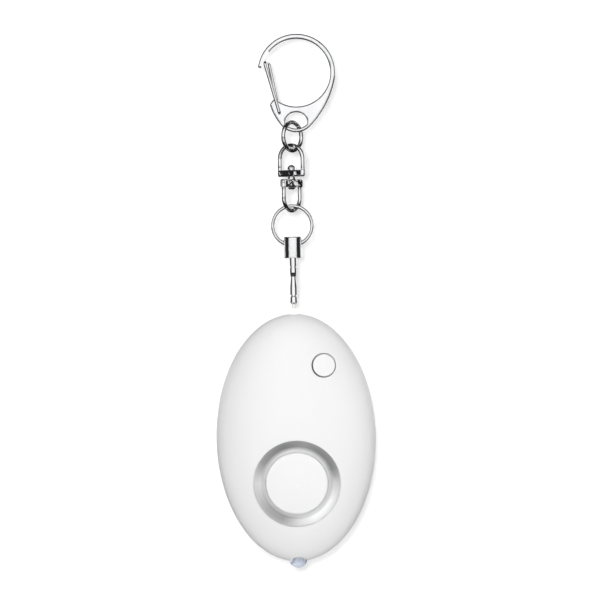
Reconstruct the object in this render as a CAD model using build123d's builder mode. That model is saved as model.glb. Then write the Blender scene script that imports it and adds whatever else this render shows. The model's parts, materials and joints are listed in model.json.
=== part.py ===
from build123d import *
from math import asin, cos, degrees, radians, sin, sqrt
import os

# Personal safety alarm: an egg-shaped casing with a siren, a torch and a pull pin, and the
# pin's own chain of collar, ring, swivel and snap hook. The pin is drawn clear of the casing.
# Millimetres, +Z up along the chain, the front faces -Y. The origin is the centre of the
# hook's round opening, because the alarm hangs from there.

os.makedirs("parts", exist_ok=True)

# One overrun that takes every cut past the faces it opens
overrun = 1.0

# Snap hook: a flat cast plate with a round opening, and an eye in its lower end
hook_inner_radius = 8.45
hook_band = 1.31
hook_depth = 2.1
hook_edge_round = 0.5
flank_start_angle = -13.0
flank_radius = 23.5
flank_turn = 32.0
belly_radius = 4.9
belly_turn = 95.0
cheek_radius = 14.2
cheek_turn = 25.0
shoulder_round = 0.6
nose_end_angle = 171.5
nose_step_angle = 142.0
nose_relief = 0.4
nose_round = 0.3
eye_width = 5.4
eye_web = 1.51
eye_arch_share = 0.5875
eye_bar = 1.0
eye_corner_round = 0.6
eye_edge_round = 0.49

# Wire gate of the hook
gate_wire = 0.8
gate_bend = 0.55
gate_side_gap = 0.08
gate_pin_gap = 0.05
gate_end_gap = 0.3
gate_pivot_reach = 4.16
gate_top_angle = 161.2
gate_skew = 1.07
gate_dimple_radius = 0.85
gate_dimple_depth = 0.3

# The chain hangs a little left of the opening's centre
chain_x = -1.7
chain_gap = 0.15

# Round link between the eye and the swivel
link_width = 8.1
link_height = 8.2
link_wire = 1.14
link_yaw = 50.0
link_shift = 0.4
link_bar_gap = 0.32

# Swivel: two equal bails, each with a bridge that the rivet passes through
bail_width = 7.7
bail_height = 8.4
bail_wire = 1.1
upper_bail_yaw = -30.0
lower_bail_yaw = 53.0
bridge_depth = 2.0
bridge_round = 0.5
upper_bridge_height = 1.7
lower_bridge_height = 2.1
rivet_radius = 0.7
rivet_gap = 0.05
rivet_head_radius = 1.05
rivet_head_height = 1.2
rivet_brow_share = 0.85
rivet_bead_radius = 1.05
rivet_bead_height = 0.5
rivet_foot_height = 0.5

# Jump ring
ring_diameter = 10.7
ring_wire = 0.87

# Pull pin: collar, stem, black insulator, jack tip and its pale end
collar_radius = 2.35
collar_height = 5.3
collar_hole_radius = 1.05
collar_hole_play = 0.2
collar_top_land = 0.85
collar_chamfer = 0.2
collar_bore_depth = 1.85
stem_radius = 0.915
stem_length = 3.65
stem_waist_radius = 0.78
stem_waist_height = 0.35
stem_waist_drop = 2.1
insulator_height = 1.0
insulator_top_radius = 0.78
insulator_low_radius = 0.67
insulator_sleeve_radius = 0.6
insulator_sleeve_length = 3.1
tip_rod_radius = 0.38
cone_top_radius = 0.64
cone_height = 2.75
tip_barrel_radius = 0.95
tip_barrel_height = 1.85
tip_groove_radius = 0.64
tip_groove_height = 0.3
tip_shoulder_radius = 0.9
tip_shoulder_height = 0.25
tip_end_radius = 0.98
tip_end_height = 1.95
tip_end_round = 0.35
nub_radius = 0.52
nub_height = 0.95

# The pin is drawn this far out of the casing
pulled_gap = 1.5

# Casing: an ellipsoid in two shells that part on its middle plane
case_width = 40.0
case_depth = 18.0
case_height = 62.0
wall = 1.7
back_flat_cut = 0.4
parting_gap = 0.1
lip_land = 0.95
lip_height = 1.0
lip_gap = 0.06
lip_thickness = 0.6
inner_part_gap = 0.1

# Siren, square to the casing's face below its middle
siren_drop_share = 0.1855
siren_width_share = 0.2127
bezel_rim = 0.25
bezel_outer_slope = 1.7
bezel_valley_depth = 1.05
bezel_band = 3.0
bezel_inner_drop = 0.15
bezel_height = 2.2
bezel_fit = 0.05
cover_gap = 0.06
cover_proud = 0.3
cover_dome = 0.55
cover_edge_round = 0.5
cover_plate = 1.0
cover_skirt = 0.9
cover_ports = 6
cover_port_width = 3.0
cover_port_height = 0.7
holder_plate = 0.6
holder_band = 4.85
holder_wall = 0.9
gasket_height = 0.4
gasket_width = 1.2
piezo_play = 0.05
piezo_height = 0.25
ceramic_margin = 2.9
ceramic_height = 0.2
siren_boss_wall = 1.0
siren_ledge_width = 0.7
siren_ledge_height = 0.6

# Torch button and the switch that it presses
button_right_share = 0.18
button_rise_share = 0.2903
button_radius = 2.9
button_gap = 0.16
button_edge_round = 0.12
button_flange = 0.6
button_flange_height = 0.6
button_guide_wall = 1.0
button_guide_end = 3.2
button_travel = 0.4
switch_width = 6.0
switch_height = 2.4
plunger_radius = 0.95
plunger_gap = 0.05
plunger_overlap = 0.7
plunger_play = 0.3

# Circuit board, and the screws that clamp it between the shells
board_front = 0.7
board_height = 1.0
board_side_margin = 3.2
board_end_margin = 3.4
board_foot_margin = 7.5
slot_half_width = 3.6
window_margin = 0.25
screw_boss_radius = 1.9
screw_post_radius = 2.3
screw_shank_radius = 0.8
screw_shank_length = 7.5
screw_head_radius = 1.5
screw_head_height = 1.1
screw_head_round = 0.35
screw_recess_width = 0.45
screw_recess_length = 1.7
screw_recess_depth = 0.5
screw_seat = 3.9
screw_hole_gap = 0.03
screw_pass_gap = 0.15
low_screw_margin = 2.35
low_screw_drop_share = 0.0968
top_screw_left_share = 0.22
top_screw_rise_share = 0.2903

# Three button cells, side by side, in a cradle with end walls
cell_depth_share = 0.6444
cell_width_share = 0.135
cell_cap_margin = 1.1
cell_cap_height = 0.6
cell_edge_round = 0.3
cell_count = 3
cell_gap = 0.02
cell_rise_share = 0.1
cradle_gap = 0.1
cradle_wall = 0.6
cradle_lip = 1.0
cradle_back_share = 0.2778
cradle_end_wall = 0.8
plate_stand = 1.88
contact_thickness = 0.3
contact_plate_width = 8.0
spring_radius = 2.6
spring_wire = 0.35
spring_turns = 3

# Parts on the back of the board
coil_left_share = 0.15
coil_drop_share = 0.1935
coil_flange_radius = 3.4
coil_core_radius = 1.6
coil_depth_share = 0.165
coil_flange_height = 0.6
winding_radius = 3.0
chip_right_share = 0.1125
chip_drop_share = 0.129
chip_width = 4.0
chip_length = 5.0
chip_height = 1.4
chip_leg_count = 4
chip_leg_pitch = 1.27
chip_leg_width = 0.42
chip_leg_reach = 1.0
chip_leg_height = 0.25

# Leads from the siren's ceramic to the board
lead_radius = 0.35
lead_bend = 0.9
lead_spread = 2.4
lead_shift = 1.6
lead_run = 1.2

# Torch lamp
lamp_radius = 2.3
lamp_proud = 1.65
lamp_gap = 0.06
lamp_flange_radius = 2.75
lamp_flange_height = 1.0
lamp_boss_radius = 3.3
lamp_boss_height = 5.15
lamp_lead_radius = 0.25
lamp_lead_spread = 1.27
lamp_lead_length = 2.3

# Socket that the pull pin is drawn from, and its contact
socket_radius = 2.3
socket_bore_radius = 1.06
socket_wall_gap = 0.04
socket_top_drop = 3.3
socket_floor = 0.7
socket_end_gap = 1.1
neck_radius = 3.2
neck_foot_drop = 6.0
contact_width = 2.0
contact_leaf = 0.25
contact_slot_height = 3.4
contact_slot_foot = 1.6
contact_tail = 2.2


# Places that follow from the sizes

# The hook's lower outline is a chain of tangent arcs, whose centres lie on each other's radii
def on_circle(centre, radius, angle):
    return (centre[0] + radius * cos(radians(angle)), centre[1] + radius * sin(radians(angle)))


hook_outer_radius = hook_inner_radius + hook_band
flank_end_angle = flank_start_angle - flank_turn
belly_end_angle = flank_end_angle - belly_turn
flank_centre = on_circle((0, 0), hook_outer_radius - flank_radius, flank_start_angle)
belly_centre = on_circle(flank_centre, flank_radius - belly_radius, flank_end_angle)
cheek_centre = on_circle(belly_centre, belly_radius - cheek_radius, belly_end_angle)
eye_floor_radius = belly_radius - eye_bar
eye_top_z = -hook_inner_radius - eye_web
eye_arch = eye_arch_share * (eye_top_z - belly_centre[1] + eye_floor_radius)

gate_pivot = (belly_centre[0] - gate_pivot_reach, belly_centre[1])
gate_top_radius = hook_inner_radius + nose_relief - gate_wire / 2 - gate_side_gap
gate_top = on_circle((0, 0), gate_top_radius, gate_top_angle)
gate_side = hook_depth / 2 + gate_wire / 2 + gate_side_gap

# Down the chain: each piece hangs on the one above with the chain's gap
link_x = chain_x + link_shift
bar_radius = belly_radius - eye_bar / 2
bar_z = belly_centre[1] - sqrt(bar_radius**2 - (link_x - belly_centre[0]) ** 2)
link_top_z = bar_z + hook_depth / 2 + link_bar_gap + link_wire
link_z = link_top_z - link_height / 2
link_low_z = link_z - (link_height - link_wire) / 2
upper_bail_top_z = link_low_z + link_wire / 2 + chain_gap + bail_wire
upper_bridge_z = upper_bail_top_z - bail_height
swivel_gap = rivet_bead_height + 2 * rivet_gap
lower_bridge_top_z = upper_bridge_z - swivel_gap
lower_bail_z = lower_bridge_top_z - bail_height
ring_z = lower_bail_z + bail_wire + chain_gap + ring_wire - ring_diameter / 2
ring_radius = (ring_diameter - ring_wire) / 2
ring_low_z = ring_z - ring_radius
ring_rise = ring_radius - sqrt(ring_radius**2 - collar_radius**2)
collar_hole_z = ring_low_z + ring_rise + ring_wire / 2 + collar_hole_play - collar_hole_radius
collar_top_z = collar_hole_z + collar_hole_radius + collar_top_land
collar_low_z = collar_top_z - collar_height
stem_low_z = collar_low_z - stem_length
insulator_low_z = stem_low_z - insulator_height
cone_low_z = insulator_low_z - cone_height
barrel_low_z = cone_low_z - tip_barrel_height
groove_low_z = barrel_low_z - tip_groove_height
tip_low_z = groove_low_z - tip_end_height
nub_low_z = tip_low_z - nub_height
case_top_z = nub_low_z - pulled_gap
case_z = case_top_z - case_height / 2
pin_length = collar_low_z - nub_low_z

# Places and sizes inside the casing that follow its width, depth or height
siren_drop = siren_drop_share * case_height
bezel_radius = siren_width_share * (case_width + case_height) / 2
bezel_valley_radius = bezel_radius - bezel_outer_slope
bezel_bore_radius = bezel_radius - bezel_band
cover_radius = bezel_bore_radius - cover_gap
holder_bore_radius = bezel_radius - holder_band
piezo_radius = bezel_radius - holder_wall - piezo_play
ceramic_radius = piezo_radius - ceramic_margin
button_right = button_right_share * case_width
button_rise = button_rise_share * case_height
cell_radius = cell_depth_share * case_depth / 2
cell_height = cell_width_share * case_width
cell_cap_radius = cell_radius - cell_cap_margin
cell_rise = cell_rise_share * case_height
coil_height = coil_depth_share * case_depth
coil_right = -coil_left_share * case_width
coil_drop = coil_drop_share * case_height
chip_right = chip_right_share * case_width
chip_drop = chip_drop_share * case_height
board_half_width = case_width / 2 - board_side_margin
board_half_height = case_height / 2 - board_end_margin
board_foot = case_height / 2 - board_foot_margin
low_screw_right = bezel_radius + low_screw_margin
low_screw_drop = low_screw_drop_share * case_height
top_screw_left = top_screw_left_share * case_width
top_screw_rise = top_screw_rise_share * case_height

# Depths inside the casing, positive towards the back
board_back = board_front + board_height
switch_front = board_front - switch_height
switch_bore_depth = plunger_overlap + button_travel + plunger_play
flange_front = -button_guide_end + inner_part_gap
flange_back = flange_front + button_flange_height
cell_stack = cell_count * (cell_height + cell_gap) - cell_gap
end_wall_x = cell_stack / 2 + plate_stand + cradle_end_wall
window_half_width = end_wall_x + inner_part_gap
lamp_tip = case_height / 2 + lamp_proud
lamp_seat = case_height / 2 - lamp_boss_height
lamp_base = lamp_seat - lamp_flange_height
socket_top = case_height / 2 - socket_top_drop
socket_foot = case_height / 2 - pin_length - socket_end_gap
neck_foot = case_height / 2 - neck_foot_drop
screw_places = [
    (low_screw_right, -low_screw_drop),
    (-low_screw_right, -low_screw_drop),
    (-top_screw_left, top_screw_rise),
]


# Depth of the casing's outer face at a place given from its centre
def case_face(right, rise):
    across = (right / (case_width / 2)) ** 2
    along = (rise / (case_height / 2)) ** 2
    return case_depth / 2 * sqrt(1 - across - along)


# The siren's axis is square to the face; its rim is where the face's sides meet the bezel
siren_face = case_face(0, -siren_drop)
siren_slope = (siren_drop / case_height**2) / (siren_face / case_depth**2)
siren_tilt = sqrt(1 + siren_slope**2)
siren_out = Vector(0, -1 / siren_tilt, -siren_slope / siren_tilt)
siren_origin = Vector(chain_x, -siren_face, case_z - siren_drop)
siren_rim = (case_face(bezel_radius, -siren_drop) - siren_face) / siren_tilt
bezel_low = siren_rim - bezel_height
holder_low = bezel_low - holder_plate
gasket_low = holder_low - gasket_height
piezo_low = gasket_low - piezo_height
ceramic_low = piezo_low - ceramic_height
siren_ledge = piezo_low - inner_part_gap
siren_boss_low = siren_ledge - siren_ledge_height
siren_boss_radius = bezel_radius + bezel_fit + siren_boss_wall


# Upright plane whose X runs across a loop that is turned about the vertical
def upright(x, z, yaw=0.0):
    turn = radians(yaw)
    return Plane(origin=(x, 0, z), x_dir=(cos(turn), sin(turn), 0), z_dir=(sin(turn), -cos(turn), 0))


# Plane across the casing at a depth, looking in from the front, centred on the casing
def facing(depth):
    return Plane(origin=(chain_x, depth, case_z), x_dir=(1, 0, 0), z_dir=(0, -1, 0))


# Level plane at a height above the casing's centre
def level(rise):
    return Plane(origin=(chain_x, 0, case_z + rise), x_dir=(1, 0, 0), z_dir=(0, 0, 1))


# Plane across the cells' axis, at a distance to the right of the casing's centre
def across(right):
    return Plane(
        origin=(chain_x + right, 0, case_z + cell_rise), x_dir=(0, 1, 0), z_dir=(1, 0, 0)
    )


chain_side = upright(chain_x, 0)
siren_side = Plane(
    origin=siren_origin, x_dir=(1, 0, 0), z_dir=(0, -siren_out.Z, siren_out.Y)
)


# Plane square to the siren's axis at a height above its face
def siren_level(height):
    return Plane(origin=siren_origin + siren_out * height, x_dir=(1, 0, 0), z_dir=siren_out)


# Turned piece: the outline is radius and height, and it turns about the plane's own Y
def turned(plane, outline):
    with BuildSketch(plane) as profile:
        with BuildLine():
            Polyline(*outline, close=True)
        make_face()
    revolve(profile.sketch, axis=Axis(plane.origin, plane.y_dir))


# Round bar along a path that has already been drawn
def wire_along(path, radius):
    with BuildSketch(Plane(origin=path @ 0, z_dir=path % 0)) as section:
        Circle(radius)
    sweep(section.sketch, path=path)


# Ring between two ellipses, both shorter than the casing's outline by a land
def case_ring(outer_land, inner_land):
    Ellipse(case_width / 2 - outer_land, case_height / 2 - outer_land)
    Ellipse(case_width / 2 - inner_land, case_height / 2 - inner_land, mode=Mode.SUBTRACT)


# Ellipsoid of the casing's form, set in by a land, with its poles at the front and back
def egg(land):
    with BuildPart() as blank:
        Sphere(1, rotation=(90, 0, 0))
        scale(by=(case_width / 2 - land, case_depth / 2 - land, case_height / 2 - land))
    return blank.part.moved(Location((chain_x, 0, case_z)))


outer_egg = egg(0)
inner_egg = egg(wall)
boss_egg = egg(wall / 2)

# Snap hook
with BuildPart() as hook_body:
    with BuildSketch(Plane.XZ):
        with BuildLine():
            crown = CenterArc(
                (0, 0), hook_outer_radius, nose_end_angle, flank_start_angle - nose_end_angle
            )
            flank = CenterArc(flank_centre, flank_radius, flank_start_angle, -flank_turn)
            belly = CenterArc(belly_centre, belly_radius, flank_end_angle, -belly_turn)
            cheek = CenterArc(cheek_centre, cheek_radius, belly_end_angle, -cheek_turn)
            Polyline(cheek @ 1, (0, 0), crown @ 0)
        make_face()
        Circle(hook_inner_radius, mode=Mode.SUBTRACT)
        nose = [v for v in vertices() if v.X < 0 and v.Y > 0]
        fillet(nose, nose_round)
        shoulder = [v for v in vertices() if v.X < 0 and belly_centre[1] < v.Y < 0]
        fillet(shoulder, shoulder_round)
        with BuildSketch(mode=Mode.PRIVATE) as eye:
            with Locations(belly_centre):
                Circle(eye_floor_radius)
            with Locations((belly_centre[0], eye_top_z - eye_arch)):
                Ellipse(eye_width / 2, eye_arch, mode=Mode.INTERSECT)
            fillet(eye.vertices(), eye_corner_round)
        add(eye.sketch, mode=Mode.SUBTRACT)
    extrude(amount=hook_depth / 2, both=True)
    for rim in (faces().sort_by(Axis.Y)[0], faces().sort_by(Axis.Y)[-1]):
        fillet(rim.outer_wire().edges(), hook_edge_round)
    for rim in (faces().sort_by(Axis.Y)[0], faces().sort_by(Axis.Y)[-1]):
        fillet(rim.inner_wires()[0].edges(), eye_edge_round)
    with BuildSketch(Plane.XZ):
        with BuildLine():
            CenterArc(
                (0, 0), hook_inner_radius + nose_relief, nose_step_angle, 180 - nose_step_angle
            )
            Polyline(
                on_circle((0, 0), hook_inner_radius + nose_relief, 180),
                (0, 0),
                on_circle((0, 0), hook_inner_radius + nose_relief, nose_step_angle),
            )
        make_face()
    extrude(amount=hook_depth, both=True, mode=Mode.SUBTRACT)
    with BuildSketch(Plane.XZ):
        with Locations(gate_pivot):
            Circle(gate_wire / 2 + gate_pin_gap)
    extrude(amount=hook_depth, both=True, mode=Mode.SUBTRACT)
    for face_side in (1, -1):
        with BuildSketch(Plane.XZ.offset(face_side * (hook_depth / 2 - gate_dimple_depth))):
            with Locations(gate_pivot):
                Circle(gate_dimple_radius)
        extrude(amount=face_side * overrun, mode=Mode.SUBTRACT)
hook_body.part.label = "hook_body"
export_step(hook_body.part, "parts/hook_body.step")

# Wire gate: up the front, under the nose and down the back, its ends turned in to the pivot
with BuildPart() as hook_gate:
    with BuildLine() as gate_path:
        FilletPolyline(
            (gate_pivot[0], -gate_end_gap / 2, gate_pivot[1]),
            (gate_pivot[0], -gate_side, gate_pivot[1]),
            (gate_top[0], -gate_side, gate_top[1]),
            (gate_top[0] + gate_skew, gate_side, gate_top[1]),
            (gate_pivot[0], gate_side, gate_pivot[1]),
            (gate_pivot[0], gate_end_gap / 2, gate_pivot[1]),
            radius=gate_bend,
        )
    wire_along(gate_path.wire(), gate_wire / 2)
hook_gate.part.label = "hook_gate"
export_step(hook_gate.part, "parts/hook_gate.step")

# Link: one half swept, the other mirrored
link_arc = (link_width - link_wire) / 2
link_straight = (link_height - link_width) / 2
with BuildPart() as link_ring:
    with BuildLine(upright(link_x, link_z, link_yaw)) as link_path:
        Line((-link_arc, 0), (-link_arc, link_straight))
        CenterArc((0, link_straight), link_arc, 180, -180)
        Line((link_arc, link_straight), (link_arc, 0))
    wire_along(link_path.wire(), link_wire / 2)
    mirror(about=Plane.XY.offset(link_z))
link_ring.part.label = "link_ring"
export_step(link_ring.part, "parts/link_ring.step")


# Bail of the swivel: a bent wire with round feet, and a round-edged bridge between the feet.
# It is drawn with its loop upwards, and the lower one is turned over by a negative height.
def bail(bridge_outer_z, yaw, bridge_height, bore_radius, up):
    arc = (bail_width - bail_wire) / 2
    plane = upright(chain_x, bridge_outer_z, yaw)
    shoulder = up * (bail_height - bail_width / 2)
    foot = up * bail_wire / 2
    with BuildLine(plane) as path:
        Line((-arc, foot), (-arc, shoulder))
        CenterArc((0, shoulder), arc, 180, -180 * up)
        Line((arc, shoulder), (arc, foot))
    wire_along(path.wire(), bail_wire / 2)
    for foot_side in (1, -1):
        with Locations(plane.from_local_coords((foot_side * arc, foot, 0))):
            Sphere(bail_wire / 2)
    bridge_middle = plane.from_local_coords((0, up * bridge_height / 2, 0))
    with BuildSketch(Plane(origin=bridge_middle, x_dir=(0, 0, 1), z_dir=plane.x_dir)) as bridge:
        RectangleRounded(bridge_height, bridge_depth, bridge_round)
    extrude(bridge.sketch, amount=arc, both=True)
    with BuildSketch(Plane(origin=(chain_x, 0, bridge_outer_z), z_dir=(0, 0, up))) as bore:
        Circle(bore_radius)
    extrude(bore.sketch, amount=bridge_height + overrun, both=True, mode=Mode.SUBTRACT)


with BuildPart() as swivel_bail_upper:
    bail(upper_bridge_z, upper_bail_yaw, upper_bridge_height, rivet_radius + rivet_gap, 1)
swivel_bail_upper.part.label = "swivel_bail_upper"
export_step(swivel_bail_upper.part, "parts/swivel_bail_upper.step")

with BuildPart() as swivel_bail_lower:
    bail(lower_bridge_top_z, lower_bail_yaw, lower_bridge_height, rivet_radius, -1)
swivel_bail_lower.part.label = "swivel_bail_lower"
export_step(swivel_bail_lower.part, "parts/swivel_bail_lower.step")

# Rivet: head in the upper bail, bead between the bridges, foot peened in the lower bail
rivet_head_z = upper_bridge_z + upper_bridge_height + rivet_gap
rivet_bead_z = upper_bridge_z - rivet_gap
lower_bridge_low_z = lower_bridge_top_z - lower_bridge_height
with BuildPart() as swivel_rivet:
    turned(
        chain_side,
        [
            (0, rivet_head_z + rivet_head_height),
            (rivet_radius / 2, rivet_head_z + rivet_head_height),
            (rivet_radius, rivet_head_z + rivet_head_height * rivet_brow_share),
            (rivet_head_radius, rivet_head_z + rivet_head_height / 2),
            (rivet_head_radius, rivet_head_z),
            (rivet_radius, rivet_head_z),
            (rivet_radius, rivet_bead_z),
            (rivet_bead_radius, rivet_bead_z),
            (rivet_bead_radius, lower_bridge_top_z),
            (rivet_radius, lower_bridge_top_z),
            (rivet_radius, lower_bridge_low_z),
            (rivet_head_radius, lower_bridge_low_z),
            (rivet_radius, lower_bridge_low_z - rivet_foot_height),
            (0, lower_bridge_low_z - rivet_foot_height),
        ],
    )
swivel_rivet.part.label = "swivel_rivet"
export_step(swivel_rivet.part, "parts/swivel_rivet.step")

# Jump ring
with BuildPart() as jump_ring:
    with Locations((chain_x, 0, ring_z)):
        Torus(ring_radius, ring_wire / 2, rotation=(90, 0, 0))
jump_ring.part.label = "jump_ring"
export_step(jump_ring.part, "parts/jump_ring.step")

# Pin collar, drilled across for the ring and bored from below for the stem
stem_top_z = collar_low_z + collar_bore_depth
with BuildPart() as pin_collar:
    with BuildSketch(Plane(origin=(chain_x, 0, collar_low_z))):
        Circle(collar_radius)
    extrude(amount=collar_height)
    chamfer(edges().filter_by(GeomType.CIRCLE), collar_chamfer)
    with BuildSketch(Plane(origin=(chain_x, 0, collar_low_z))):
        Circle(stem_radius)
    extrude(amount=collar_bore_depth, mode=Mode.SUBTRACT)
    with BuildSketch(Plane(origin=(chain_x, 0, collar_hole_z), x_dir=(0, 1, 0), z_dir=(1, 0, 0))):
        Circle(collar_hole_radius)
    extrude(amount=collar_radius + overrun, both=True, mode=Mode.SUBTRACT)
pin_collar.part.label = "pin_collar"
export_step(pin_collar.part, "parts/pin_collar.step")

# Stem, with a turned waist and a bore from below for the insulator's sleeve
sleeve_top_z = stem_low_z + insulator_sleeve_length
waist_z = collar_low_z - stem_waist_drop
with BuildPart() as pin_stem:
    turned(
        chain_side,
        [
            (0, stem_top_z),
            (stem_radius, stem_top_z),
            (stem_radius, waist_z),
            (stem_waist_radius, waist_z),
            (stem_waist_radius, waist_z - stem_waist_height),
            (stem_radius, waist_z - stem_waist_height),
            (stem_radius, stem_low_z),
            (insulator_sleeve_radius, stem_low_z),
            (insulator_sleeve_radius, sleeve_top_z),
            (0, sleeve_top_z),
        ],
    )
pin_stem.part.label = "pin_stem"
export_step(pin_stem.part, "parts/pin_stem.step")

# Insulator: a sleeve inside the stem and the black band that shows
with BuildPart() as pin_insulator:
    turned(
        chain_side,
        [
            (tip_rod_radius, sleeve_top_z),
            (insulator_sleeve_radius, sleeve_top_z),
            (insulator_sleeve_radius, stem_low_z),
            (insulator_top_radius, stem_low_z),
            (insulator_low_radius, insulator_low_z),
            (tip_rod_radius, insulator_low_z),
        ],
    )
pin_insulator.part.label = "pin_insulator"
export_step(pin_insulator.part, "parts/pin_insulator.step")

# Jack tip: a rod through the insulator, a cone, a barrel, a groove and the rounded end
with BuildPart() as pin_tip:
    turned(
        chain_side,
        [
            (0, sleeve_top_z),
            (tip_rod_radius, sleeve_top_z),
            (tip_rod_radius, insulator_low_z),
            (cone_top_radius, insulator_low_z),
            (tip_barrel_radius, cone_low_z),
            (tip_barrel_radius, barrel_low_z),
            (tip_groove_radius, barrel_low_z),
            (tip_groove_radius, groove_low_z),
            (tip_shoulder_radius, groove_low_z - tip_shoulder_height),
            (tip_end_radius, tip_low_z + tip_end_round),
            (tip_end_radius - tip_end_round, tip_low_z),
            (0, tip_low_z),
        ],
    )
pin_tip.part.label = "pin_tip"
export_step(pin_tip.part, "parts/pin_tip.step")

# Pale end of the pin
with BuildPart() as pin_nub:
    with BuildSketch(Plane(origin=(chain_x, 0, nub_low_z))):
        Circle(nub_radius)
    extrude(amount=nub_height)
    fillet(faces().sort_by(Axis.Z)[0].edges(), nub_radius / 2)
pin_nub.part.label = "pin_nub"
export_step(pin_nub.part, "parts/pin_nub.step")

# Neck round the pin's socket and boss round the lamp, rooted in the middle of the wall
with BuildPart() as end_bosses:
    with BuildSketch(level(neck_foot)):
        Circle(neck_radius)
    extrude(amount=neck_foot_drop)
    with BuildSketch(level(-lamp_seat)):
        Circle(lamp_boss_radius)
    extrude(amount=-lamp_boss_height)
    add(boss_egg, mode=Mode.INTERSECT)

# Shell blank that both halves are cut from
with BuildPart() as shell_blank:
    add(outer_egg)
    add(inner_egg, mode=Mode.SUBTRACT)
    add(end_bosses.part)


# Holes that the two shells share: the pin's hole, the socket's pocket and the lamp's hole
def shared_holes():
    with BuildSketch(level(neck_foot)) as pin_hole:
        Circle(socket_bore_radius)
    extrude(pin_hole.sketch, amount=neck_foot_drop + overrun, mode=Mode.SUBTRACT)
    with BuildSketch(level(neck_foot - overrun)) as pocket:
        Circle(socket_radius + socket_wall_gap)
    pocket_height = socket_top - neck_foot + overrun + socket_wall_gap
    extrude(pocket.sketch, amount=pocket_height, mode=Mode.SUBTRACT)
    with BuildSketch(level(-lamp_seat + overrun)) as lamp_hole:
        Circle(lamp_radius + lamp_gap)
    extrude(lamp_hole.sketch, amount=-(lamp_boss_height + 2 * overrun), mode=Mode.SUBTRACT)


# Bosses of the front shell: siren, button guide and screws
with BuildPart() as front_bosses:
    with BuildSketch(siren_level(siren_boss_low)):
        Circle(siren_boss_radius)
    extrude(amount=-siren_boss_low)
    with BuildSketch(facing(-button_guide_end)):
        with Locations((button_right, button_rise)):
            Circle(button_radius + button_gap + button_guide_wall)
    extrude(amount=case_depth / 2)
    with BuildSketch(facing(board_front)):
        with Locations(screw_places):
            Circle(screw_boss_radius)
    extrude(amount=case_depth / 2)
    add(boss_egg, mode=Mode.INTERSECT)

# Front shell
with BuildPart() as front_shell:
    add(split(shell_blank.part, bisect_by=facing(-parting_gap / 2), keep=Keep.TOP, mode=Mode.PRIVATE))
    with BuildSketch(facing(overrun)):
        case_ring(lip_land, wall + overrun)
    extrude(amount=overrun + lip_height + lip_gap, mode=Mode.SUBTRACT)
    add(front_bosses.part)
    with BuildSketch(siren_level(siren_ledge)):
        Circle(bezel_radius + bezel_fit)
    extrude(amount=overrun - siren_ledge, mode=Mode.SUBTRACT)
    with BuildSketch(siren_level(siren_boss_low - overrun)):
        Circle(bezel_radius + bezel_fit - siren_ledge_width)
    extrude(amount=siren_ledge_height + 2 * overrun, mode=Mode.SUBTRACT)
    with BuildSketch(facing(0)):
        with Locations((button_right, button_rise)):
            Circle(button_radius + button_gap)
    extrude(amount=case_depth / 2, mode=Mode.SUBTRACT)
    with BuildSketch(facing(board_front)):
        with Locations(screw_places):
            Circle(screw_shank_radius + screw_hole_gap)
    extrude(amount=board_front + screw_shank_length - screw_seat + overrun / 2, mode=Mode.SUBTRACT)
    shared_holes()
front_shell.part.label = "front_shell"
export_step(front_shell.part, "parts/front_shell.step")

# Screw posts of the rear shell
with BuildPart() as rear_posts:
    with BuildSketch(facing(board_back)):
        with Locations(screw_places):
            Circle(screw_post_radius)
    extrude(amount=board_back - case_depth / 2)
    add(boss_egg, mode=Mode.INTERSECT)

# Rear shell, planed flat at the back, with a lip that enters the front shell
with BuildPart() as rear_shell:
    add(split(shell_blank.part, bisect_by=facing(parting_gap / 2), keep=Keep.BOTTOM, mode=Mode.PRIVATE))
    with BuildSketch(facing(parting_gap)):
        case_ring(lip_land + lip_gap, lip_land + lip_gap + lip_thickness)
    extrude(amount=parting_gap + lip_height)
    add(rear_posts.part)
    with BuildSketch(facing(screw_seat)):
        with Locations(screw_places):
            Circle(screw_head_radius + screw_pass_gap)
    extrude(amount=screw_seat - case_depth / 2, mode=Mode.SUBTRACT)
    with BuildSketch(facing(0)):
        with Locations(screw_places):
            Circle(screw_shank_radius + screw_pass_gap)
    extrude(amount=-case_depth / 2, mode=Mode.SUBTRACT)
    shared_holes()
    split(bisect_by=facing(case_depth / 2 - back_flat_cut), keep=Keep.TOP)
rear_shell.part.label = "rear_shell"
export_step(rear_shell.part, "parts/rear_shell.step")

# Siren bezel: a ring with a trough whose outer slope is the wider one
with BuildPart() as siren_bezel:
    turned(
        siren_side,
        [
            (bezel_radius, siren_rim),
            (bezel_radius - bezel_rim, siren_rim),
            (bezel_valley_radius, siren_rim - bezel_valley_depth),
            (bezel_bore_radius, siren_rim - bezel_inner_drop),
            (bezel_bore_radius, bezel_low),
            (bezel_radius, bezel_low),
        ],
    )
siren_bezel.part.label = "siren_bezel"
export_step(siren_bezel.part, "parts/siren_bezel.step")

# Siren cover: a domed disc on a skirt, with ports in the skirt for the sound
cover_edge = siren_rim + cover_proud
cover_top = cover_edge + cover_dome
dome_radius = (cover_radius**2 + cover_dome**2) / (2 * cover_dome)
with BuildPart() as siren_cover:
    with BuildSketch(siren_side):
        with BuildLine():
            dome = CenterArc(
                (0, cover_top - dome_radius), dome_radius, 90, -degrees(asin(cover_radius / dome_radius))
            )
            Polyline(
                dome @ 1,
                (cover_radius, bezel_low),
                (cover_radius - cover_skirt, bezel_low),
                (cover_radius - cover_skirt, cover_edge - cover_plate),
                (0, cover_edge - cover_plate),
                dome @ 0,
            )
        make_face()
        fillet(vertices().group_by(Axis.X)[-1].sort_by(Axis.Y)[-1], cover_edge_round)
    revolve(axis=Axis(siren_origin, siren_out))
    with BuildSketch(siren_level(bezel_low)):
        with PolarLocations(cover_radius, cover_ports):
            Rectangle(2 * cover_skirt + overrun, cover_port_width)
    extrude(amount=cover_port_height, mode=Mode.SUBTRACT)
siren_cover.part.label = "siren_cover"
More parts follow.
